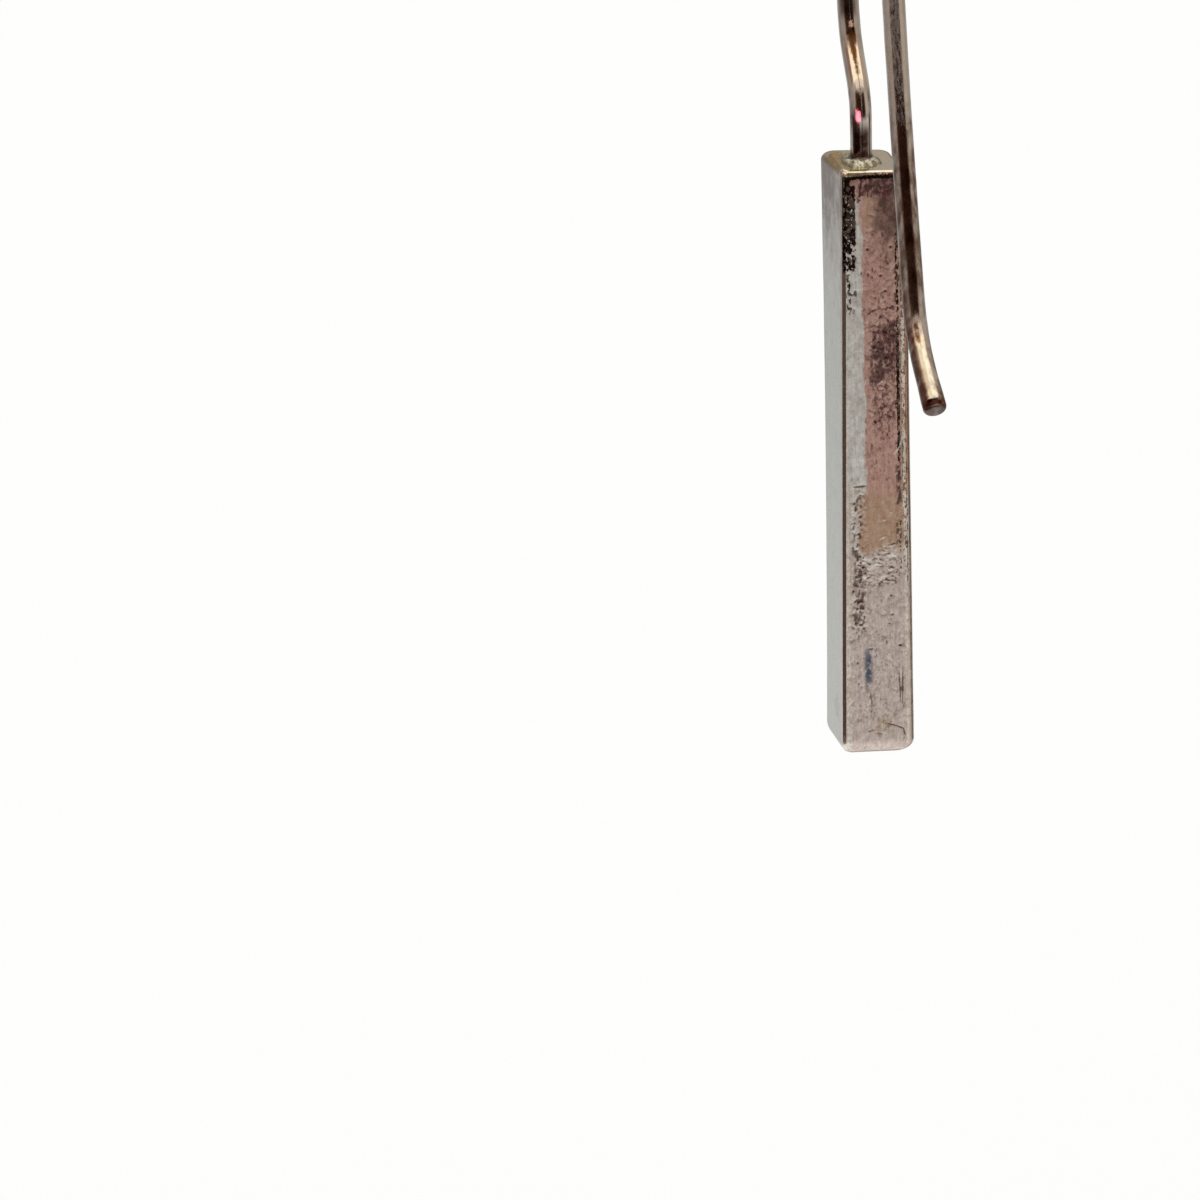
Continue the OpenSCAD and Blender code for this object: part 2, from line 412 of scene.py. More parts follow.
def barRelief(places, near):
    # how deep the surface lies below its plain shape, how hollow it is there, where painted highlights go
    # on fold crests and raised scratches, and where the dark blotch lies
    s = barSettings
    u = places[:, 0]
    z = places[:, 2] + s["middle"][2]
    depth = s["waves"] * (0.5 + 0.5 * layeredNoise(places * (1.0, 1.0, 0.55), 2.2, 3, 2))
    depth += s["ripples"] * (0.5 + 0.5 * layeredNoise(places * (1.0, 1.0, 0.45), 0.62, 8, 2))
    depth += s["grain"] * (1.0 + smoothNoise(places * (1.0, 1.0, 0.7), 0.17, 21))

    # the near face falls away softly towards its edges
    halfWidth = nearHalfWidth(z)
    pillow = 0.5 * fallOff(halfWidth + u, 0.5) + 0.4 * fallOff(halfWidth - u, 0.3)
    pillow += 1.2 * fallOff(-places[:, 2] - 0.10, 0.42)
    depth += near * s["pillow"] * pillow

    size = s["pitSize"]
    pits = np.zeros(len(u))
    for x0, z0, wide, tall, deep in nearPits:
        pits += deep * np.exp(-(((u - x0) / (wide * size)) ** 2 + ((z - z0) / (tall * size)) ** 2) ** 1.5)
    lines = np.zeros(len(u))
    for x0, z0, x1, z1, wide, deep in nearScratches:
        lines += deep * segmentShape(u, z, x0, z0, x1, z1, wide)

    # crumbled bands, and crumbs scattered over the rest
    crumb = smoothNoise(warped(places * (1.0, 1.0, 0.7), 0.05, 0.12, 141), 0.10, 31)
    crumbCoarse = smoothNoise(places * (1.0, 1.0, 0.5), 0.24, 37)
    bands = sum(softField(u, z, row) for row in crumbledBands)
    broken = np.clip(bands, 0, 1) * softStep(crumb * 0.7 + crumbCoarse * 0.6, -0.05, 0.45)
    scatter = window(z, -37.4, -29.6, 0.8) * 0.6 + window(z, -29.0, -13.5, 0.7) * 0.30
    scatter = scatter * softStep(crumb, 0.30, 0.62)

    # wrinkled fields: folds that run across the face, and curls
    folds = ridges(places * (0.85, 1.0, 1.15), 0.19, 47)
    folds = folds * softStep(layeredNoise(places, 0.34, 49, 2), -0.75, 0.15)
    curls = ridges(places * (1.0, 1.0, 0.7), 0.22, 53)
    swells = ridges(places * (1.0, 1.0, 0.8), 0.42, 57)
    ragged = z + 0.30 * smoothNoise(places, 0.45, 67)
    crossing = softField(u, ragged, wrinkledFields["crossing"])
    left, dark, upper = (softField(u, z, wrinkledFields[name]) for name in ("left", "dark", "upper"))
    curled = crossing * folds + (dark + left) * curls
    swollen = (upper + window(z, -38.2, -30.6, 0.4) * 0.40) * swells
    # painted highlights on the smooth tops of the folds
    smooth = 1 - ridges(places * (0.8, 1.0, 1.2), 0.24, 59, 1)
    highlights = (crossing + left + dark * 0.15) * softStep(smooth, 0.45, 0.85)

    # the dent with the dark blotch
    blotch = roundSpot(u, z, barSpots["blotch"], 4)
    blotch = blotch * softStep(crumbCoarse * 0.6 + crumb * 0.8, -0.85, -0.1)

    marks = s["pitDepth"] * (np.clip(pits, 0, 1.2) + 0.5 * np.clip(lines, -0.5, 1.0) + 0.5 * blotch)
    marks += s["crumble"] * (broken + 0.6 * scatter) + s["wrinkles"] * (curled + swollen)
    depth += near * (marks + s["nearSink"])
    # the material darkens these hollow places with tarnish and with painted shade
    hollow = np.clip(pits, 0, 1) + np.clip(lines, 0, 1) + broken * 0.8 + scatter * 0.6
    hollow += curled * 0.55 + swollen * 0.4
    raised = np.clip(-lines, 0, 1) + highlights * 0.8
    return depth, np.clip(near * hollow, 0, 1), np.clip(near * raised, 0, 1), near * blotch


def barTones(places, near, left, bevel):
    # how thickly each tone lies on the silver: patches of colour, stains, painted dark reflections and
    # painted highlights; the material breaks these up
    x, y, top = places.T
    u = x + 0.10 * layeredNoise(places * (1.0, 1.0, 0.25), 0.5, 91, 4, 0.6)
    z = top + barSettings["middle"][2] + 0.25 * layeredNoise(places, 0.6, 97, 4, 0.6)
    across = {"ragged": u, "straight": x, "fromRight": nearHalfWidth(z) - x}

    def fields(name):
        return [softField(across[kind], z, row) for kind, *row in toneFields[name]]

    tones = {}
    # the near face is pale on the left and pink on the right of a slanting border
    border = -0.52 - 0.007 * (z + 12.9)
    tones["pale"] = near * softStep(border - u, -0.12, 0.10) * window(z, -25.8, -12.9, 0.3)
    tones["pale"] += left * (0.35 * softStep(-z, 12.8, 15.0) + 0.5 * softStep(-z, 15.5, 20.0))
    tones["pink"] = near * softStep(u - border, -0.14, 0.14) * window(z, -26.6, -11.6, 0.5)
    tones["pink"] = np.maximum(tones["pink"], near * (1 - softStep(-z, 12.8, 13.2)))
    tones["tan"] = near * sum(fields("tan"))
    tones["beige"] = near * softStep(-z, 28.4, 29.4)
    tones["taupe"] = left * (1 - softStep(-z, 12.6, 17.5)) * (0.50 + 0.45 * softStep(y, -0.8, 0.6))
    tones["shade"] = near * softStep(u, -0.30, 0.55) * (1 - softStep(-z, 14.0, 16.4)) * 0.85
    tones["umber"] = near * np.max(fields("umber"), axis=0)
    seam = window(u, -0.45, 0.85, 0.1) * np.exp(-((z + 18.05) / 0.10) ** 2) * 0.62
    tones["plum"] = near * np.maximum(np.max(fields("plum"), axis=0), seam)

    # painted dark reflection under the top rim, running down into the left margin in a round corner
    underRim = -top - 0.10 * x
    rimLine = underRim - 0.05 * softStep(-x, 0.2, 1.1)
    corner = np.hypot(np.maximum(-0.62 - x, 0), np.maximum(0.62 - underRim, 0))
    corner = softStep(corner, 0.36, 0.44) * (underRim < 0.75)
    rim = np.maximum((1 - softStep(rimLine, 0.27, 0.35)) * 0.88, corner)
    rim = rim * softStep(rimLine, 0.15, 0.19)
    patinaAndDarkReflection = np.max(fields("patinaAndDarkReflection") + [rim, sum(fields("margin"))], axis=0)
    # on the chamfer the dark is partly patina, partly painted dark reflection
    tones["patinaAndDarkReflection"] = near * patinaAndDarkReflection + bevel * window(z, -16.3, -12.0, 0.3) * 0.62

    # painted highlights on the crest of the back rim and the low end of the chamfer
    crest = window(rimLine, 0.0, 0.17, 0.02) * softStep(-y, 1.24, 1.32)
    crest = crest * (0.50 + 0.40 * window(x, -1.35, -0.45, 0.1))
    creamHighlight = np.maximum(near * np.max(fields("creamHighlight"), axis=0), crest)
    tones["creamHighlight"] = np.maximum(creamHighlight, bevel * softStep(-z, 37.15, 37.5))

    # the top has an olive bloom, and the solder has run thinly to the back rim, where it carries a painted
    # yellow highlight
    topBloom = 0.85 * roundSpot(x, y, barSpots["topBloom"])
    rimBloom = 0.75 * roundSpot(x, y, barSpots["rimBloom"])
    tones["olive"] = np.maximum(topBloom, rimBloom) * softStep(top, -0.34, -0.16)
    run = window(x, -1.2, -0.40, 0.10) * (1 - softStep(y, -1.22, -1.02))
    tones["solderRunGlint"] = 0.62 * run * softStep(top, -0.16, -0.08)
    return tones


def makeBar():
    s = barSettings
    grid, topPole, lowPole, sides = barGrid()
    normals = gridNormals(grid)
    places = grid.reshape(-1, 3)
    # the top and the underside belong to no side
    upright = 1 - softStep(np.abs(normals[..., 2]), 0.55, 0.85)
    near = ((sides == "near") * upright * softStep(-normals[..., 1], 0.3, 0.7)).ravel()
    left = ((sides == "left") * upright).ravel()
    bevel = ((sides == "bevel") * upright).ravel()
    depth, hollow, raised, blotch = barRelief(places, near)
    middle = np.array(s["middle"])
    shaped = (places - normals.reshape(-1, 3) * depth[:, None]).reshape(grid.shape) + middle
    sink = np.array([0, 0, -s["waves"] * 0.7])
    bar = closedMesh("bar", shaped, topPole + middle + sink, lowPole + middle - sink)
    curve = 1.0 - np.max(np.abs(normals), axis=2)
    # golden stain low on the near face, and another left of the solder
    x, y, z = places.T
    stain = near * roundSpot(x, z, barSpots["goldenStain"])
    stain += 1.4 * roundSpot(x, y, barSpots["topStain"]) * softStep(z, -0.30, -0.12)
    masks = barTones(places, near, left, bevel)
    masks.update(edge=curve / 0.22, hollow=hollow, raised=raised, near=near, blotch=blotch, stain=stain)
    for name, mask in masks.items():
        paint(bar, name, mask)
    return bar


bar = makeBar()
print("bar:", len(bar.data.polygons), "faces")


wireSettings = {
    "radius": 0.4475,
    "foot": (1.5166, -12.7457),
    "footDepth": 0.8,
    # turn in degrees, radius of the bend, straight stretch after it
    "legCourse": [(0.0, 2.6, 2.56), (36.5, 2.6, 0.86), (-30.5, 4.15, 2.4)],
    "tailCourse": [(-175.8, 3.6, 0.0), (5.0, 144.0, 0.0), (39.8, 4.4, 1.58)],
    "tipRound": 0.23,
    "tipSteps": 9,
    "cutRings": (0.85, 0.6, 0.3),
    "tipSwell": 0.03,
    "notchDepth": 0.11,
    "notchPlace": 0.23,
    "notchWidth": 0.13,
    "step": 0.06,
    "sides": 72,
    "drawLines": 0.0022,
    "fileMarks": 0.0006,
    "dents": 0.009,
}


def wireCourse():
    # stations [y, z, heading in degrees from straight up towards the front, length so far]
    s = wireSettings
    y, z = s["foot"]
    heading = 0.0
    length = 0.0
    stations = [(y, z, heading, length)]
    for turn, radius, run in s["legCourse"] + s["tailCourse"]:
        bendLength = abs(math.radians(turn)) * radius
        steps = max(1, math.ceil(bendLength / s["step"])) if turn else 0
        side = -1.0 if turn < 0 else 1.0
        a0 = math.radians(heading)
        for k in range(1, steps + 1):
            a = math.radians(heading + turn * k / steps)
            stations.append((
                y + side * radius * (math.cos(a0) - math.cos(a)),
                z + side * radius * (math.sin(a) - math.sin(a0)),
                math.degrees(a),
                length + bendLength * k / steps,
            ))
        y, z, heading, length = stations[-1]
        runSteps = math.ceil(run / s["step"])
        for k in range(1, runSteps + 1):
            part = run * k / runSteps
            a = math.radians(heading)
            stations.append((y + part * math.sin(a), z + part * math.cos(a), heading, length + part))
        y, z, heading, length = stations[-1]
    return np.array(stations)


def wireRings():
    # the stations and radii of all rings, with those of the rounded, cut tip
    s = wireSettings
    stations = wireCourse()
    radius = [s["radius"]] * len(stations)
    y, z, heading, length = stations[-1]
    a = math.radians(heading)
    tip = []
    for k in range(1, s["tipSteps"] + 1):
        t = math.pi / 2 * k / s["tipSteps"]
        out = s["tipRound"] * math.sin(t)
        tip.append((y + out * math.sin(a), z + out * math.cos(a), heading, length + out))
        radius.append(s["radius"] - s["tipRound"] * (1 - math.cos(t)))
    for share in s["cutRings"]:
        tip.append(tip[-1])
        radius.append((s["radius"] - s["tipRound"]) * share)
    return np.vstack([stations, tip]), np.array(radius)[:, None]


def wireTones(length, tipwards, out, side):
    # tipwards is 0 at the tip and below 0 before it; out is 1 on the outer side of the
    # hook, and side is 1 on the wire's right
    aboveBar = length - wireSettings["footDepth"]
    # turned towards the camera, a little to the left, where the painted reflections lie
    facing = -0.97 * out - 0.25 * side
    tones = {}
    # heat scale all round the foot, and a painted dark reflection on the side of the tail at the foot and
    # again below the crown
    darkened = (1 - softStep(aboveBar, 1.2, 1.9)) * softStep(facing, 0.55, 0.85)
    darkened = np.maximum(darkened, 1 - softStep(aboveBar, 0.15, 0.60))
    upper = window(aboveBar, 6.0, 9.0, 0.25) * softStep(facing, 0.60, 0.85) * 0.75
    tones["darkened"] = np.maximum(darkened, upper)
    # painted amber reflections where the leg leans and low on the tail, and a painted copper glint
    wide = 0.10 * softStep(aboveBar, 4.6, 5.2)
    amberReflection = window(aboveBar, 3.4, 4.3, 0.3) * softStep(-0.99 * out - 0.11 * side, 0.955, 1.0) * 0.75
    amberReflection = amberReflection + window(aboveBar, 4.2, 5.5, 0.3) * softStep(facing + 0.12 * side, 0.89 - wide, 0.98)
    spot = window(tipwards, -3.9, -3.0, 0.2) * softStep(0.97 * out - 0.25 * side, 0.95, 1.0)
    tones["amberReflection"] = amberReflection + spot * 0.75
    tones["copperGlint"] = window(aboveBar, 5.45, 5.80, 0.12) * softStep(facing + 0.20 * side, 0.88, 0.98) * 0.60
    # the lower half of the tail is browner, most on its right flank, and so is the leg in places; the flare
    # is brown on both flanks and paler between them
    flank = softStep(np.abs(side), 0.35, 0.8)
    tail = softStep(tipwards, -14.0, -9.8) * (1 - 0.6 * softStep(tipwards, -5.8, -3.9))
    brown = tail * (0.50 + 0.125 * flank + 0.155 * side)
    brown = brown + window(aboveBar, 1.0, 3.0, 0.4) * flank * 0.40
    brown = brown + softStep(tipwards, -6.0, -3.5) * softStep(-side, 0.3, 0.9) * 0.62
    brown = brown + softStep(tipwards, -4.5, -1.5) * (0.66 * softStep(side, 0.5, 0.9) - 0.10)
    tones["brown"] = brown + 0.26 * softStep(tipwards, -1.3, -0.7)
    # the upper part of the tail is mottled with dull patches
    tones["mottled"] = 0.50 * softStep(tipwards, -22.0, -19.0) * (1 - softStep(tipwards, -14.5, -10.0))
    return tones


def makeWire():
    s = wireSettings
    stations, radius = wireRings()
    turn = 2 * math.pi * np.arange(s["sides"]) / s["sides"]
    out = np.cos(turn)[None, :]
    side = np.sin(turn)[None, :]
    y, z, heading, length = (column[:, None] for column in stations.T)
    heading = np.radians(heading)
    tipwards = length - stations[-1, 3]
    shape = (len(stations), s["sides"])

    # drawing lines run along the wire, dents and file marks across it
    loose = np.stack(np.broadcast_arrays(out * 0.45, side * 0.45, length), axis=2).reshape(-1, 3)
    wrapped = loose * (1.0, 1.0, 0.06)
    relief = s["drawLines"] * (1 + smoothNoise(wrapped, 0.17, 61))
    relief += s["fileMarks"] * (1 + smoothNoise(loose, 0.15, 67))
    relief += s["dents"] * (0.5 + 0.5 * layeredNoise(loose, 0.9, 71, 2))
    # the tip is a little swollen, and has a notch on the side that faces outwards and up
    notch = np.exp(-(np.abs(tipwards + s["notchPlace"]) / s["notchWidth"]) ** 2.5)
    notch = notch * softStep(out - 0.2 * side, 0.30, 0.75)
    swelling = s["tipSwell"] * softStep(tipwards, -1.6, -0.5)
    relief = relief.reshape(shape) + s["notchDepth"] * notch - swelling
    r = radius - relief * np.minimum(1.0, radius / s["radius"])
    grid = np.stack([r * side, y + r * out * np.cos(heading), z - r * out * np.sin(heading)], axis=2)
    poles = [(0.0, stations[k, 0], stations[k, 1]) for k in (0, -1)]
    wire = closedMesh("ear_wire", grid, *poles)

    streak = smoothNoise(wrapped, 0.20, 73) + 0.8 * smoothNoise(loose * (1.0, 1.0, 0.5), 0.30, 79)
    masks = wireTones(length, tipwards, out, side)
    # the notch is darkened with a painted dark reflection
    masks.update(hollow=notch * 1.2, streak=softStep(streak.reshape(shape), -0.2, 0.9))
    for name, mask in masks.items():
        paint(wire, name, np.broadcast_to(mask, shape))
    cut = softStep(tipwards, -0.18, -0.10)
    paint(wire, "cut", np.broadcast_to(cut, shape), 0.0, 1.0)
    return wire


wire = makeWire()
print("ear wire:", len(wire.data.polygons), "faces")


solderSettings = {
    "foot": (0.0, 1.5166),
    "start": 0.40,
    "reach": 0.92,
    "tongue": 0.24,
    "tongueTurn": 241.0,
    "tongueWidth": 0.30,
    "fillet": 0.24,
    "depth": 0.16,
    "unevenness": 0.014,
    "sides": 144,
    "rings": 56,
    "lumps": [
        # across, along, radius, height
        (-0.66, -0.46, 0.20, 0.13), (-0.33, -0.68, 0.30, 0.25), (0.06, -0.58, 0.13, 0.10),
        (0.22, -0.70, 0.17, 0.15), (0.52, -0.44, 0.26, 0.09), (-0.20, 0.40, 0.40, 0.06),
        (-0.76, -0.20, 0.24, 0.06), (-0.50, -0.78, 0.10, 0.06), (-0.12, -0.84, 0.11, 0.08),
        (-0.56, -1.00, 0.20, 0.07), (-0.20, -0.98, 0.16, 0.06),
    ],
}


def makeSolder():
    s = solderSettings
    b = barSettings
    turn = 2 * math.pi * np.arange(s["sides"]) / s["sides"]
    spread = np.linspace(0.0, 1.0, s["rings"] + 1)[1:, None]
    # its outline wanders, and runs out in a tongue
    wobble = 0.12 * np.cos(turn + 2.3) - 0.14 * np.sin(turn) + 0.06 * np.sin(3 * turn + 0.6)
    fromTongue = np.mod(turn - math.radians(s["tongueTurn"]) + math.pi, 2 * math.pi) - math.pi
    tongue = s["tongue"] * np.exp(-(fromTongue / s["tongueWidth"]) ** 2)
    reach = s["reach"] * (1 + wobble + 0.03 * np.sin(7 * turn)) + tongue
    r = s["start"] + (reach[None, :] - s["start"]) * spread
    x = r * np.cos(turn)
    y = r * np.sin(turn)
    flat = np.stack([x, y, np.zeros_like(x)], axis=2).reshape(-1, 3)
    # the fillet runs out further on the right
    fillet = s["fillet"] * (1.25 + 0.45 * np.cos(turn + 0.5))[None, :]
    inward = np.clip(fillet - (r - s["start"]), 0.0, fillet)
    height = fillet - np.sqrt(np.maximum(fillet ** 2 - inward ** 2, 0.0))
    for across, along, size, rise in s["lumps"]:
        away = np.hypot(x - across, y - along) / size
        height = height + rise * np.exp(-(away ** 2) * 1.3)
    height = height + s["unevenness"] * layeredNoise(flat, 0.22, 83, 3).reshape(x.shape)
    # its border dips into the bar
    height = height + 0.015 - 0.07 * softStep(spread, 0.62, 1.0)
    slope = math.tan(math.radians(b["endSlope"]))
    ground = b["middle"][2] - (x - b["middle"][0]) * slope
    footX, footY = s["foot"]
    top = np.stack([x + footX, y + footY, ground + height], axis=2)
    under = top[-1:].copy()
    under[:, :, 2] = ground[-1] - s["depth"]
    firstPole = (footX, footY, top[0, :, 2].min() - 0.1)
    lastPole = (footX, footY, under[:, :, 2].mean())
    solder = closedMesh("solder", np.concatenate([top, under]), firstPole, lastPole)
    rise = np.concatenate([height, height[-1:] * 0])
    gap = np.concatenate([r, r[-1:]]) - s["start"]
    paint(solder, "edge", rise / 0.25)
    paint(solder, "darkened", 1 - softStep(gap, 0.06, 0.16), 1.0, 0.0)
    return solder


solder = makeSolder()
print("solder:", len(solder.data.polygons), "faces")


def newGroup(name, inputs, outputs):
    # a place has no value, a colour has four numbers and all else has one
    group = bpy.data.node_groups.new(name, "ShaderNodeTree")
    for socketName, value in inputs.items():
        kind = "NodeSocketColor" if isinstance(value, tuple) else "NodeSocketFloat"
        if value is None:
            kind = "NodeSocketVector"
        socket = group.interface.new_socket(socketName, in_out="INPUT", socket_type=kind)
        if value is not None:
            socket.default_value = value
    for socketName in outputs:
        kind = "NodeSocketColor" if socketName == "Color" else "NodeSocketFloat"
        group.interface.new_socket(socketName, in_out="OUTPUT", socket_type=kind)
    start = group.nodes.new("NodeGroupInput")
    end = group.nodes.new("NodeGroupOutput")
    return group, start.outputs, end.inputs


def addNode(tree, kind, settings=None, values=None):
    node = tree.nodes.new(kind)
    for key, value in (settings or {}).items():
        setattr(node, key, value)
    for key, value in (values or {}).items():
        if isinstance(value, bpy.types.NodeSocket):
            tree.links.new(value, node.inputs[key])
        else:
            node.inputs[key].default_value = value
    return node


def addMath(tree, operation, a, b=0.0, clamp=False):
    settings = {"operation": operation, "use_clamp": clamp}
    return addNode(tree, "ShaderNodeMath", settings, {0: a, 1: b}).outputs[0]


def times(tree, a, b):
    return addMath(tree, "MULTIPLY", a, b)


def addRange(tree, value, low, high, toLow=0.0, toHigh=1.0):
    node = addNode(tree, "ShaderNodeMapRange", {"interpolation_type": "SMOOTHSTEP"},
                   {0: value, 1: low, 2: high, 3: toLow, 4: toHigh})
    return node.outputs[0]


def addMix(tree, share, first, second, blend="MIX"):
    node = addNode(tree, "ShaderNodeMix", {"data_type": "RGBA", "blend_type": blend},
                   {0: share, 6: first, 7: second})
    return node.outputs[2]


def addNoise(tree, place, scale, detail, roughness):
    node = addNode(tree, "ShaderNodeTexNoise", None,
                   {"Vector": place, "Scale": scale, "Detail": detail, "Roughness": roughness})
    return node.outputs["Fac"]


def buildTarnish():
    # patches and fine freckles where silver has dulled
    group, inputs, outputs = newGroup(
        "tarnishPatches",
        {"Place": None, "Patch Size": 1.0, "Cover": 0.5, "Recess": 0.0},
        ["Dulled", "Freckles"],
    )
    scale = addMath(group, "DIVIDE", 1.0, inputs["Patch Size"])
    broad = addNoise(group, inputs["Place"], scale, 5.0, 0.62)
    fine = addNoise(group, inputs["Place"], times(group, scale, 9.0), 3.0, 0.6)
    lowEnd = addMath(group, "SUBTRACT", 0.72, times(group, inputs["Cover"], 0.4))
    patch = addRange(group, broad, lowEnd, addMath(group, "ADD", lowEnd, 0.16))
    deep = times(group, inputs["Recess"], addRange(group, fine, 0.3, 0.6))
    group.links.new(addMath(group, "MAXIMUM", patch, deep), outputs["Dulled"])
    group.links.new(addRange(group, fine, 0.62, 0.74), outputs["Freckles"])
    return group


def buildScratches():
    # hairlines of handling in two directions, as a mask and as a height
    group, inputs, outputs = newGroup(
        "hairScratches", {"Place": None, "Spacing": 0.2, "Amount": 0.5}, ["Mask", "Height"])
    scale = addMath(group, "DIVIDE", 1.0, inputs["Spacing"])
    masks = []
    for angle, stretch in (((0.25, 0.1, 0.5), (1.0, 1.0, 0.06)), ((0.9, 0.35, 1.2), (1.0, 0.07, 1.0))):
        turned = addNode(group, "ShaderNodeMapping", None,
                         {"Vector": inputs["Place"], "Rotation": angle, "Scale": stretch})
        lines = addNoise(group, turned.outputs[0], scale, 2.0, 0.5)
        masks.append(addRange(group, lines, 0.63, 0.70))
    mask = times(group, addMath(group, "MAXIMUM", *masks), inputs["Amount"])
    group.links.new(mask, outputs["Mask"])
    group.links.new(times(group, mask, -1.0), outputs["Height"])
    return group


def buildEdgeWear():
    # rubbed, brighter metal where the shape turns
    group, inputs, outputs = newGroup(
        "rubbedEdges",
        {"Place": None, "Turning": 0.0, "Base": (0.8, 0.8, 0.8, 1.0),
         "Rubbed": (0.9, 0.9, 0.9, 1.0), "Amount": 0.5},
        ["Color", "Mask"],
    )
    breakUp = addRange(group, addNoise(group, inputs["Place"], 3.0, 4.0, 0.6), 0.3, 0.65)
    turning = times(group, inputs["Turning"], breakUp)
    mask = addMath(group, "MULTIPLY", turning, inputs["Amount"], clamp=True)
    group.links.new(addMix(group, mask, inputs["Base"], inputs["Rubbed"]), outputs["Color"])
    group.links.new(mask, outputs["Mask"])
    return group


def buildGrain():
    # the fine unevenness of cast and polished silver
    group, inputs, outputs = newGroup("metalGrain", {"Place": None, "Size": 0.1}, ["Height", "Tone"])
    scale = addMath(group, "DIVIDE", 1.0, inputs["Size"])
    grain = addNoise(group, inputs["Place"], scale, 4.0, 0.65)
    group.links.new(grain, outputs["Height"])
    group.links.new(addRange(group, grain, 0.35, 0.65), outputs["Tone"])
    return group


def buildBroken():
    # a painted share broken up into patches of its own size, soft or crisp
    group, inputs, outputs = newGroup(
        "brokenPatches", {"Place": None, "Cover": 0.5, "Size": 0.2, "Softness": 0.1}, ["Mask"])
    scale = addMath(group, "DIVIDE", 1.0, inputs["Size"])
    noise = addNoise(group, inputs["Place"], scale, 5.0, 0.62)
    swing = times(group, addMath(group, "SUBTRACT", noise, 0.5), 1.9)
    value = addMath(group, "ADD", inputs["Cover"], swing)
    lowEnd = addMath(group, "SUBTRACT", 0.5, inputs["Softness"])
    highEnd = addMath(group, "ADD", 0.5, inputs["Softness"])
    broken = addRange(group, value, lowEnd, highEnd)
    anyCover = addRange(group, inputs["Cover"], 0.0, 0.12)
    group.links.new(times(group, broken, anyCover), outputs["Mask"])
    return group


tarnishGroup = buildTarnish()
brokenGroup = buildBroken()
scratchGroup = buildScratches()
edgeGroup = buildEdgeWear()
grainGroup = buildGrain()
print("node groups built")


def color(red, green, blue):
    return (red, green, blue, 1.0)


barFinish = {
    "silver": color(0.80, 0.75, 0.69),
    "rubbed": color(0.92, 0.90, 0.86),
    "dull": color(0.52, 0.43, 0.38),
    # dark tarnish freckles, and on the bar also the painted shade in the hollows
    "freckle": color(0.13, 0.085, 0.070),
    # painted highlight on fold crests and raised scratches
    "raised": color(0.97, 0.93, 0.86),
    "stain": color(0.40, 0.27, 0.12),
    "blotch": color(0.10, 0.12, 0.18),
    "brushed": color(0.58, 0.48, 0.44),
    # colour, size of its patches, softness of their edges
    "tones": {
        "pale": (color(0.90, 0.90, 0.86), 0.35, 0.30),
        "pink": (color(0.74, 0.47, 0.40), 0.30, 0.40),
        "shade": (color(0.17, 0.10, 0.082), 0.40, 0.60),
        "tan": (color(0.67, 0.46, 0.33), 0.35, 0.60),
        "beige": (color(0.84, 0.74, 0.69), 0.35, 0.35),
        "taupe": (color(0.42, 0.36, 0.33), 0.45, 0.45),
        "olive": (color(0.48, 0.38, 0.25), 0.35, 0.35),
        "umber": (color(0.20, 0.115, 0.090), 0.16, 0.26),
        "plum": (color(0.16, 0.070, 0.072), 0.14, 0.24),
        # painted highlight
        "creamHighlight": (color(0.97, 0.93, 0.82), 0.10, 0.08),
        # painted yellow highlight on the solder run
        "solderRunGlint": (color(0.96, 0.92, 0.68), 0.20, 0.15),
        # painted dark reflection, partly patina on the chamfer
        "patinaAndDarkReflection": (color(0.022, 0.013, 0.011), 0.11, 0.07),
    },
    "grainSize": 0.16,
    "scratchSpacing": 0.11,
    "scratched": 0.5,
    "patchSize": 1.7,
    "tarnished": 0.30,
    "rubbing": 0.5,
    "polish": 0.14,
    "tarnishGloss": 0.26,
    "relief": 0.0035,
}
wireFinish = {
    "silver": color(0.76, 0.71, 0.66),
    "rubbed": color(0.92, 0.88, 0.82),
    "dull": color(0.42, 0.31, 0.24),
    "freckle": color(0.24, 0.15, 0.10),
    # painted dark reflection on the core, and heat scale at the foot
    "darkened": color(0.055, 0.020, 0.012),
    # painted dark reflection in the notch
    "notch": color(0.060, 0.017, 0.012),
    "cutEnd": color(0.13, 0.095, 0.090),
    # colour, size of its patches, softness of their edges, how far they are drawn out
    "tones": {
        "mottled": (color(0.50, 0.38, 0.30), 0.08, 0.50, 0.2),
        "brown": (color(0.20, 0.115, 0.080), 0.35, 0.40, 0.4),
        # painted amber reflection, and below it a painted copper glint
        "amberReflection": (color(0.16, 0.072, 0.033), 0.16, 0.34, 0.4),
        "copperGlint": (color(0.85, 0.47, 0.33), 0.12, 0.12, 0.4),
    },
    "grainSize": 0.22,
    "scratchSpacing": 0.08,
    "scratched": 0.5,
    "patchSize": 1.1,
    "tarnished": 0.42,
    "rubbing": 0.6,
    "polish": 0.09,
    "relief": 0.0025,
}
solderFinish = {
    "silver": color(0.56, 0.53, 0.42),
    "rubbed": color(0.90, 0.89, 0.80),
    "dull": color(0.12, 0.105, 0.052),
    "freckle": color(0.10, 0.085, 0.045),
    "darkened": color(0.085, 0.055, 0.045),
    "grainSize": 0.12,
    "scratchSpacing": 0.09,
    "scratched": 0.3,
    "patchSize": 0.4,
    "tarnished": 0.6,
    "rubbing": 0.9,
    "polish": 0.24,
    "relief": 0.004,
}


def startMaterial(name):
    material = bpy.data.materials.new(name)
    material.use_nodes = True
    tree = material.node_tree
    shader = tree.nodes["Principled BSDF"]
    shader.inputs["Metallic"].default_value = 1.0
    coordinates = addNode(tree, "ShaderNodeTexCoord").outputs["Object"]
    place = addNode(tree, "ShaderNodeVectorMath", {"operation": "SCALE"},
                    {0: coordinates, "Scale": 1 / millimetre})
    return material, tree, shader, place.outputs[0]


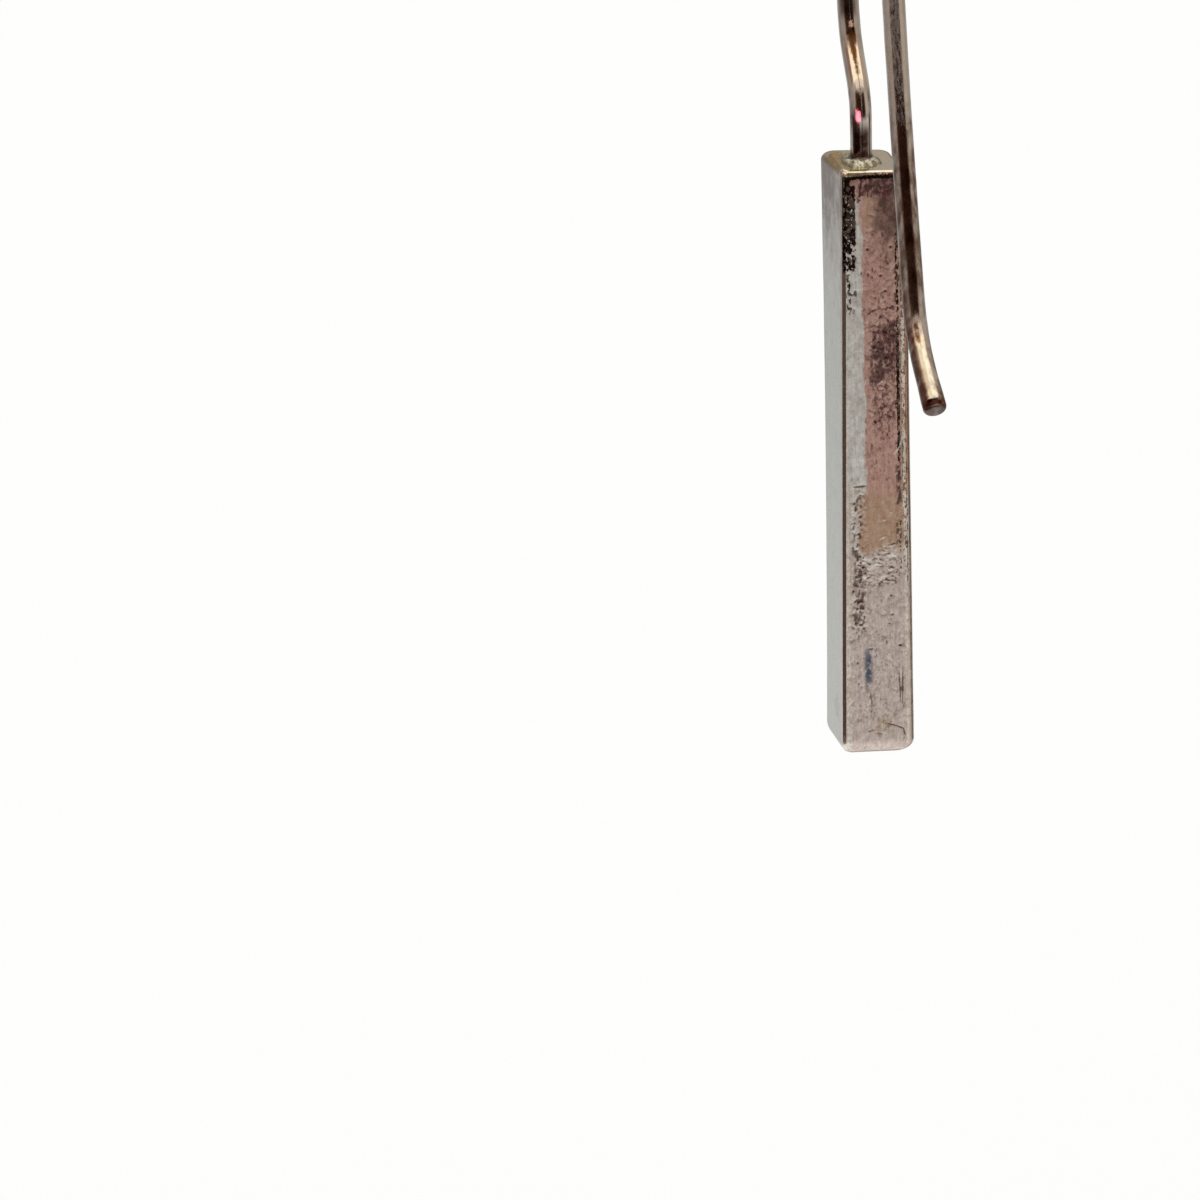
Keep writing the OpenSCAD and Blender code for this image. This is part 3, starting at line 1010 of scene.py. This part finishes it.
def addGroup(tree, group, values):
    return addNode(tree, "ShaderNodeGroup", {"node_tree": group}, values).outputs


def painted(tree, name):
    return addNode(tree, "ShaderNodeAttribute", {"attribute_name": name}).outputs["Fac"]


def patches(tree, place, name, size, softness):
    values = {"Place": place, "Cover": painted(tree, name), "Size": size, "Softness": softness}
    return addGroup(tree, brokenGroup, values)["Mask"]


def drawnOut(tree, place, share):
    # places squeezed along the bar, which draws out the patches made from them
    values = {"Vector": place, "Scale": (1.0, 1.0, share)}
    return addNode(tree, "ShaderNodeMapping", None, values).outputs[0]


def cover(tree, base, share, strength, tone, blend="MIX"):
    return addMix(tree, times(tree, share, strength), base, tone, blend)


def addSurface(tree, place, finish, recess, turning=None):
    # what all finishes have: grain, scratches, tarnish and, in the base colour, rubbed
    # edges; where no turning is given, the scratches are rubbed bright
    grain = addGroup(tree, grainGroup, {"Place": place, "Size": finish["grainSize"]})
    scratches = addGroup(tree, scratchGroup, {
        "Place": place, "Spacing": finish["scratchSpacing"], "Amount": finish["scratched"]})
    tarnish = addGroup(tree, tarnishGroup, {
        "Place": place, "Patch Size": finish["patchSize"], "Cover": finish["tarnished"], "Recess": recess})
    rubbed = addGroup(tree, edgeGroup, {
        "Place": place, "Turning": scratches["Mask"] if turning is None else turning,
        "Base": finish["silver"], "Rubbed": finish["rubbed"], "Amount": finish["rubbing"]})
    return grain, scratches, tarnish, rubbed["Color"]


def addRelief(tree, shader, finish, grain, scratches):
    height = addMath(tree, "ADD", grain["Height"], times(tree, scratches["Height"], 0.6))
    bump = addNode(tree, "ShaderNodeBump", None,
                   {"Strength": 1.0, "Distance": finish["relief"] * millimetre, "Height": height})
    tree.links.new(bump.outputs[0], shader.inputs["Normal"])


def makeBarSilver():
    f = barFinish
    material, tree, shader, place = startMaterial("barSilver")
    hollow = painted(tree, "hollow")
    near = painted(tree, "near")
    grain, scratches, tarnish, base = addSurface(tree, place, f, hollow, painted(tree, "edge"))
    stretched = drawnOut(tree, place, 0.6)
    toned = 0.0
    for name, (tone, size, softness) in f["tones"].items():
        share = patches(tree, stretched, name, size, softness)
        base = addMix(tree, share, base, tone)
        toned = addMath(tree, "MAXIMUM", toned, share)
    base = cover(tree, base, tarnish["Dulled"], 0.30, f["dull"])
    # brush marks along the bar and mottling, strong on the near face, faint elsewhere
    brush = addGroup(tree, grainGroup, {"Place": drawnOut(tree, place, 0.14), "Size": 0.10})
    mottle = addGroup(tree, grainGroup, {"Place": stretched, "Size": 0.24})
    for marks, faint, strong in ((brush, 0.14, 0.38), (mottle, 0.10, 0.42)):
        strength = addRange(tree, near, 0.0, 1.0, faint, strong)
        base = cover(tree, base, marks["Tone"], strength, f["brushed"], "MULTIPLY")
    # painted highlights on fold crests and raised scratches
    base = addMix(tree, painted(tree, "raised"), base, f["raised"])
    # tarnish freckles in the hollows, and painted shade darkening the pits, scratches, crumbs and fold
    # valleys
    frecklesAndHollowShade = times(tree, tarnish["Freckles"], addRange(tree, hollow, 0.1, 0.6, 0.30, 0.6))
    frecklesAndHollowShade = addMath(tree, "MAXIMUM", frecklesAndHollowShade, addRange(tree, hollow, 0.20, 0.85, 0.0, 0.9))
    base = addMix(tree, frecklesAndHollowShade, base, f["freckle"])
    stain = times(tree, painted(tree, "stain"), grain["Tone"])
    base = cover(tree, base, stain, 0.9, f["stain"])
    speckled = addRange(tree, grain["Height"], 0.22, 0.40)
    base = cover(tree, base, painted(tree, "blotch"), speckled, f["blotch"])
    tree.links.new(base, shader.inputs["Base Color"])
    rough = addRange(tree, toned, 0.0, 1.0, f["polish"], f["tarnishGloss"])
    rough = addMath(tree, "ADD", rough, times(tree, scratches["Mask"], 0.10))
    tree.links.new(rough, shader.inputs["Roughness"])
    addRelief(tree, shader, f, grain, scratches)
    return material


def makeWireSilver():
    f = wireFinish
    material, tree, shader, place = startMaterial("wireSilver")
    hollow = painted(tree, "hollow")
    streak = painted(tree, "streak")
    cut = painted(tree, "cut")
    grain, scratches, tarnish, base = addSurface(tree, place, f, hollow)
    base = cover(tree, base, streak, 0.35, f["dull"])
    base = cover(tree, base, tarnish["Dulled"], 0.35, f["dull"])
    base = cover(tree, base, tarnish["Freckles"], 0.35, f["freckle"])
    shares = {}
    # the amber tone is a painted reflection and the copper tone a painted glint
    for name, (tone, size, softness, squeeze) in f["tones"].items():
        shares[name] = patches(tree, drawnOut(tree, place, squeeze), name, size, softness)
        base = addMix(tree, shares[name], base, tone)
    # painted dark reflection on the wire's core, with heat scale at the foot
    darkening = addRange(tree, grain["Height"], 0.3, 0.6, 0.85, 1.0)
    base = cover(tree, base, painted(tree, "darkened"), darkening, f["darkened"])
    base = cover(tree, base, cut, 0.8, f["cutEnd"])
    # painted dark reflection in the notch at the tip
    base = addMix(tree, hollow, base, f["notch"])
    tree.links.new(base, shader.inputs["Base Color"])
    # dull patches and the painted copper glint are less metallic
    metal = addRange(tree, shares["mottled"], 0.0, 1.0, 1.0, 0.72)
    metal = addMath(tree, "SUBTRACT", metal, times(tree, shares["copperGlint"], 0.55))
    tree.links.new(metal, shader.inputs["Metallic"])
    rough = addMath(tree, "ADD", f["polish"], times(tree, streak, 0.11))
    rough = addMath(tree, "ADD", rough, times(tree, cut, 0.18))
    tree.links.new(rough, shader.inputs["Roughness"])
    addRelief(tree, shader, f, grain, scratches)
    return material


def makeSolderSilver():
    f = solderFinish
    material, tree, shader, place = startMaterial("solderSilver")
    rise = painted(tree, "edge")
    low = addRange(tree, rise, 0.70, 0.15)
    grain, scratches, tarnish, base = addSurface(tree, place, f, low, rise)
    base = cover(tree, base, tarnish["Dulled"], 0.85, f["dull"])
    base = cover(tree, base, tarnish["Freckles"], 0.5, f["freckle"])
    base = addMix(tree, painted(tree, "darkened"), base, f["darkened"])
    tree.links.new(base, shader.inputs["Base Color"])
    tree.links.new(addRange(tree, rise, 0.2, 0.8, 0.90, 0.68), shader.inputs["Metallic"])
    rough = addMath(tree, "ADD", f["polish"], times(tree, tarnish["Dulled"], 0.15))
    tree.links.new(rough, shader.inputs["Roughness"])
    addRelief(tree, shader, f, grain, scratches)
    return material


bar.data.materials.append(makeBarSilver())
wire.data.materials.append(makeWireSilver())
solder.data.materials.append(makeSolderSilver())
print("materials placed")

for piece in (bar, wire, solder):
    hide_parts("soldered_earring")
    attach(piece, "root")


studioSettings = {
    "paleness": color(1.0, 1.0, 1.0),
    # what the silver mirrors between the cards: colours below and above, heights in degrees
    "low": color(0.22, 0.195, 0.165),
    "high": color(0.44, 0.39, 0.33),
    "lowToHigh": (-14.0, 22.0),
    # in metres
    "floorDrop": 0.075,
    "floorReach": 6.0,
    "floorColor": color(0.99, 0.99, 0.985),
    # small red lamp that glints in the leg: the spot it faces, its direction from
    # there, how far off it is and its size in millimetres, its power in watts
    "lampFaces": (0.0, 1.07, -9.9),
    "lampDirection": (-42.0, -13.5),
    "lampDistance": 4.0,
    "lampSize": (4.4, 1.45),
    "lampPower": 0.000015,
    "lampSpread": 90.0,
    "lampColor": (1.0, 0.20, 0.30),
    # soft cards round the earring that polished silver mirrors: azimuth from and
    # to (0 is the side of the tail, + is to the right), height from and to,
    # softness, colour
    "cards": [
        ((-180, 180), (-90, -17), 4.0, (0.53, 0.52, 0.50)),
        ((-180, 180), (-90, -27), 6.0, (0.70, 0.69, 0.67)),
        ((-180, 180), (-90, -46), 8.0, (0.85, 0.84, 0.81)),
        ((-180, -142), (-33, -14), 2.5, (0.46, 0.47, 0.47)),
        ((-180, -142), (-33, -25), 2.0, (0.56, 0.565, 0.56)),
        ((-180, -146), (-14, 20), 8.0, (0.46, 0.44, 0.42)),
        ((-142, -108), (-22, 12), 4.0, (0.29, 0.26, 0.24)),
        ((-112, -64), (-12, 20), 5.0, (0.36, 0.31, 0.28)),
        ((-60, 36), (-14, 24), 3.0, (0.090, 0.045, 0.030)),
        ((-48, 26), (-14, 20), 6.0, (0.030, 0.012, 0.007)),
        ((40, 100), (-14, 16), 2.5, (0.50, 0.44, 0.37)),
        ((78, 104), (-14, 26), 5.0, (0.38, 0.36, 0.33)),
        ((104, 150), (-21, 10), 4.0, (0.46, 0.43, 0.40)),
        ((-112, -26), (-42, -17), 3.0, (0.080, 0.050, 0.040)),
        ((46, 72), (-38, -17), 3.0, (0.66, 0.60, 0.51)),
        ((78, 100), (-40, -16), 3.0, (0.10, 0.08, 0.07)),
        ((108, 180), (-66, -24), 3.0, (0.44, 0.40, 0.35)),
        ((150, 180), (4, 40), 8.0, (0.42, 0.38, 0.30)),
    ],
    # cards overhead: across from and to (0 is above, + is to the right), pitch from
    # and to (0 is level on the side of the tail, 90 is straight up), softness, colour
    "overhead": [
        ((-80, 80), (27, 150), 4.0, (0.46, 0.37, 0.31)),
        ((-80, -50), (62, 150), 5.0, (0.28, 0.18, 0.14)),
        ((-38, 44), (32, 44), 3.0, (0.90, 0.78, 0.67)),
        ((-56, 46), (44, 66), 4.0, (1.35, 1.14, 0.84)),
        ((-8, 3), (50, 66), 4.0, (0.85, 0.70, 0.42)),
        ((-38, 46), (66, 108), 5.0, (1.10, 0.93, 0.68)),
        ((-2, 36), (60, 98), 5.0, (1.34, 1.28, 1.02)),
        ((2, 26), (100, 150), 5.0, (1.30, 1.22, 1.08)),
    ],
}


def softRange(tree, value, low, high, soft):
    rising = addRange(tree, value, low - soft, low + soft)
    falling = addRange(tree, value, high - soft, high + soft, 1.0, 0.0)
    return times(tree, rising, falling)


def makeWorld():
    s = studioSettings
    world = bpy.data.worlds.new("studioLight")
    world.use_nodes = True
    bpy.context.scene.world = world
    tree = world.node_tree
    background = tree.nodes["Background"]
    direction = addNode(tree, "ShaderNodeTexCoord").outputs["Generated"]
    parts = addNode(tree, "ShaderNodeSeparateXYZ", None, {0: direction}).outputs
    back = times(tree, parts["Y"], -1.0)
    degrees = 180 / math.pi
    azimuth = times(tree, addMath(tree, "ARCTAN2", parts["X"], back), degrees)
    height = times(tree, addMath(tree, "ARCSINE", parts["Z"]), degrees)
    across = times(tree, addMath(tree, "ARCSINE", parts["X"]), degrees)
    pitch = times(tree, addMath(tree, "ARCTAN2", parts["Z"], back), degrees)
    light = addMix(tree, addRange(tree, height, *s["lowToHigh"]), s["low"], s["high"])
    for spans, places in (("cards", (azimuth, height)), ("overhead", (across, pitch))):
        for first, second, soft, tone in s[spans]:
            share = softRange(tree, places[1], *second, soft)
            if first != (-180, 180):
                share = times(tree, share, softRange(tree, places[0], *first, soft))
            light = addMix(tree, share, light, color(*tone))
    glossy = addNode(tree, "ShaderNodeLightPath").outputs["Is Glossy Ray"]
    shown = addMix(tree, glossy, s["paleness"], light)
    tree.links.new(shown, background.inputs["Color"])
    world.cycles.sampling_method = "NONE"


def makeRedLamp():
    s = studioSettings
    data = bpy.data.lights.new("redLamp", "AREA")
    data.shape = "RECTANGLE"
    data.size, data.size_y = (side * millimetre for side in s["lampSize"])
    data.energy = s["lampPower"]
    data.color = s["lampColor"]
    data.spread = math.radians(s["lampSpread"])
    azimuth, height = (math.radians(angle) for angle in s["lampDirection"])
    outward = Vector((
        math.sin(azimuth) * math.cos(height),
        -math.cos(azimuth) * math.cos(height),
        math.sin(height),
    ))
    lamp = addObject("redLamp", data)
    lamp.location = (Vector(s["lampFaces"]) + outward * s["lampDistance"]) * millimetre
    lamp.rotation_euler = outward.to_track_quat("Z", "Y").to_euler()
    # it only glints: it lights nothing else and isn't seen itself
    lamp.visible_camera = False
    lamp.visible_diffuse = False


def makeFloor():
    s = studioSettings
    mesh = bpy.data.meshes.new("paleFloor")
    r = s["floorReach"]
    z = -s["floorDrop"]
    mesh.from_pydata([(-r, -r, z), (r, -r, z), (r, r, z), (-r, r, z)], [], [(0, 1, 2, 3)])
    floor = addObject("paleFloor", mesh)
    material = bpy.data.materials.new("palePaper")
    material.use_nodes = True
    shader = material.node_tree.nodes["Principled BSDF"]
    shader.inputs["Base Color"].default_value = s["floorColor"]
    shader.inputs["Roughness"].default_value = 1.0
    shader.inputs["Specular IOR Level"].default_value = 0.0
    mesh.materials.append(material)
    floor.visible_glossy = False


makeWorld()
makeRedLamp()
makeFloor()
print("studio ready")
